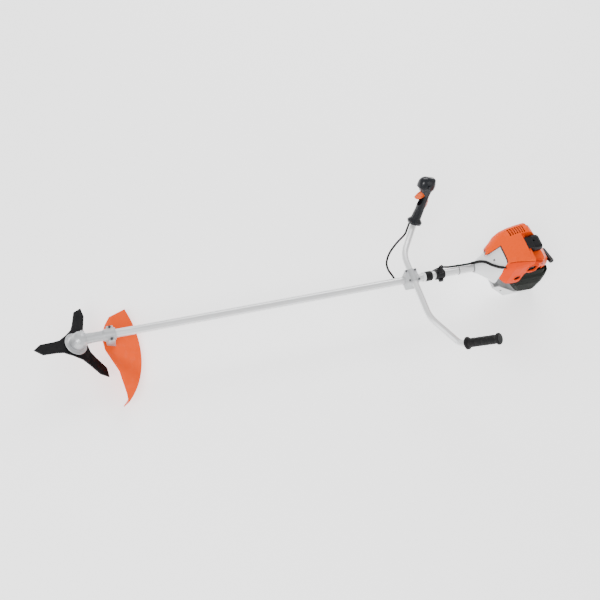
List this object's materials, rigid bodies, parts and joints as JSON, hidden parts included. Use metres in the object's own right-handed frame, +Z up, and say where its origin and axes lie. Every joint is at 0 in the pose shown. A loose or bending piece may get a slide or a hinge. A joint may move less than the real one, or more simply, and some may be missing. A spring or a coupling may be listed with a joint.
{
  "type": "brush_cutter",
  "caption": "Brush cutter with a straight tube, bicycle handlebar, three-tooth knife with a deflector, bevel gear head and a two-stroke engine with centrifugal clutch",
  "frame": {"origin": "centre of the engine foot underside, on the floor", "axes": "+X back along the drive tube to the engine, +Y to the operator's right, +Z up; the tube is level and the machine rests on the foot and on the deflector skirt"},
  "size_m": [1.8423, 0.6722, 0.3359],
  "materials": {
    "orange_plastic": "smooth moulded orange plastic",
    "light_plastic": "light grey moulded housing",
    "black_plastic": "satin black plastic",
    "tank_plastic": "dark smoked plastic",
    "black_rubber": "soft black rubber",
    "tube_aluminium": "drawn tube, satin",
    "cast_aluminium": "die cast, fine grain",
    "knife_steel": "black coated steel",
    "bright_steel": "machined",
    "dark_steel": "blackened",
    "white_ceramic": "glazed insulator"
  },
  "bodies": {
    "machine": {"gear_head_housing": "cast_aluminium", "filler_screw": "bright_steel", "head_clamp_screw_1": "dark_steel", "head_clamp_screw_2": "dark_steel", "output_bearing": "bright_steel", "pinion_bearing": "bright_steel", "deflector": "orange_plastic", "deflector_bracket": "cast_aluminium", "drive_tube": "tube_aluminium", "shaft_bush_1": "black_rubber", "shaft_bush_2": "black_rubber", "tube_sleeve": "black_rubber", "carrying_eyelet": "black_plastic", "handle_clamp_base": "cast_aluminium", "handle_clamp_cap": "cast_aluminium", "handle_clamp_screw_1": "dark_steel", "handle_clamp_screw_2": "dark_steel", "handle_clamp_screw_3": "dark_steel", "handle_clamp_screw_4": "dark_steel", "handlebar": "tube_aluminium", "left_grip": "black_rubber", "control_handle_inner": "black_plastic", "control_handle_outer": "black_plastic", "throttle_cable": "black_rubber", "clutch_housing": "light_plastic", "crankcase": "cast_aluminium", "connecting_rod": "bright_steel", "piston": "bright_steel", "cylinder": "cast_aluminium", "spark_plug": "white_ceramic", "spark_plug_boot": "black_plastic", "muffler": "bright_steel", "carburettor": "cast_aluminium", "air_filter_cover": "black_plastic", "fuel_tank": "tank_plastic", "engine_foot": "light_plastic", "engine_shroud": "orange_plastic", "starter_housing": "orange_plastic"},
    "drive_line": {"drive_shaft": "dark_steel", "bevel_pinion": "dark_steel", "clutch_drum": "dark_steel"},
    "knife_line": {"output_shaft": "bright_steel", "bevel_gear": "dark_steel", "thrust_plate": "cast_aluminium", "brush_knife": "knife_steel", "rider_plate": "dark_steel", "knife_nut": "bright_steel"},
    "crank_line": {"crankshaft": "dark_steel", "flywheel": "cast_aluminium"},
    "clutch_weight_1": {"clutch_shoe_1": "dark_steel"},
    "clutch_weight_2": {"clutch_shoe_2": "dark_steel"},
    "trigger": {"throttle_trigger": "orange_plastic"},
    "lockout": {"trigger_lockout": "orange_plastic"},
    "stop_button": {"stop_switch": "orange_plastic"},
    "throttle_arm": {"throttle_lever": "bright_steel"},
    "choke": {"choke_lever": "black_plastic"},
    "primer": {"primer_bulb": "black_rubber"},
    "tank_cap": {"fuel_cap": "black_plastic"},
    "pull_grip": {"starter_grip": "black_plastic"},
    "rope_pulley": {"starter_pulley": "black_plastic"}
  },
  "joints": [
    {"name": "drive_shaft_spin", "type": "hinge", "parent": "machine", "child": "drive_line", "pos_m": [-0.889, 0, 0.141], "axis": [1, 0, 0], "continuous": true},
    {"name": "knife_spin", "type": "hinge", "parent": "machine", "child": "knife_line", "pos_m": [-1.589, 0, 0.141], "axis": [0.5373, 0, 0.8434], "continuous": true},
    {"name": "crankshaft_spin", "type": "hinge", "parent": "machine", "child": "crank_line", "pos_m": [0, 0, 0.141], "axis": [1, 0, 0], "continuous": true},
    {"name": "clutch_shoe_1_slide", "type": "slide", "parent": "crank_line", "child": "clutch_weight_1", "axis": [0, 1, 0], "range_m": [0, 0.0015], "stiffness_N_per_m": 4000},
    {"name": "clutch_shoe_2_slide", "type": "slide", "parent": "crank_line", "child": "clutch_weight_2", "axis": [0, -1, 0], "range_m": [0, 0.0015]},
    {"name": "throttle_trigger_pivot", "type": "hinge", "parent": "machine", "child": "trigger", "pos_m": [-0.32113, 0.26253, 0.2777], "axis": [0, -0.8971, 0.4418], "range_deg": [0, 18], "stiffness_Nm_per_rad": 0.8},
    {"name": "trigger_lockout_pivot", "type": "hinge", "parent": "machine", "child": "lockout", "pos_m": [-0.30885, 0.25161, 0.25554], "axis": [0, 0.8971, -0.4418], "range_deg": [0, 6], "stiffness_Nm_per_rad": 0.5},
    {"name": "stop_switch_press", "type": "slide", "parent": "machine", "child": "stop_button", "axis": [0, 0.8971, -0.4418], "range_m": [0, 0.003], "stiffness_N_per_m": 600},
    {"name": "throttle_lever_turn", "type": "hinge", "parent": "machine", "child": "throttle_arm", "pos_m": [-0.044, 0.06, 0.2014], "axis": [0, 0, 1], "range_deg": [0, 54]},
    {"name": "choke_turn", "type": "hinge", "parent": "machine", "child": "choke", "pos_m": [0.023, 0.1, 0.171], "axis": [0, 1, 0], "range_deg": [0, 60]},
    {"name": "primer_press", "type": "slide", "parent": "machine", "child": "primer", "axis": [0, -1, 0], "range_m": [0, 0.003], "stiffness_N_per_m": 300},
    {"name": "fuel_cap_turn", "type": "hinge", "parent": "machine", "child": "tank_cap", "pos_m": [0.059, 0.078, 0.071], "axis": [0, 1, 0], "range_deg": [0, 120]},
    {"name": "starter_pull", "type": "slide", "parent": "machine", "child": "pull_grip", "axis": [1, 0, 0], "range_m": [0, 0.05]},
    {"name": "starter_pulley_turn", "type": "hinge", "parent": "machine", "child": "rope_pulley", "pos_m": [0.04, 0, 0.141], "axis": [1, 0, 0], "range_deg": [-100, 100]}
  ],
  "couplings": [
    {"joint": "knife_spin", "follows": "drive_shaft_spin", "ratio": 0.75},
    {"joint": "clutch_shoe_2_slide", "follows": "clutch_shoe_1_slide", "ratio": 1},
    {"joint": "throttle_lever_turn", "follows": "throttle_trigger_pivot", "ratio": 3},
    {"joint": "starter_pulley_turn", "follows": "starter_pull", "rad_per_m": 33.333}
  ]
}
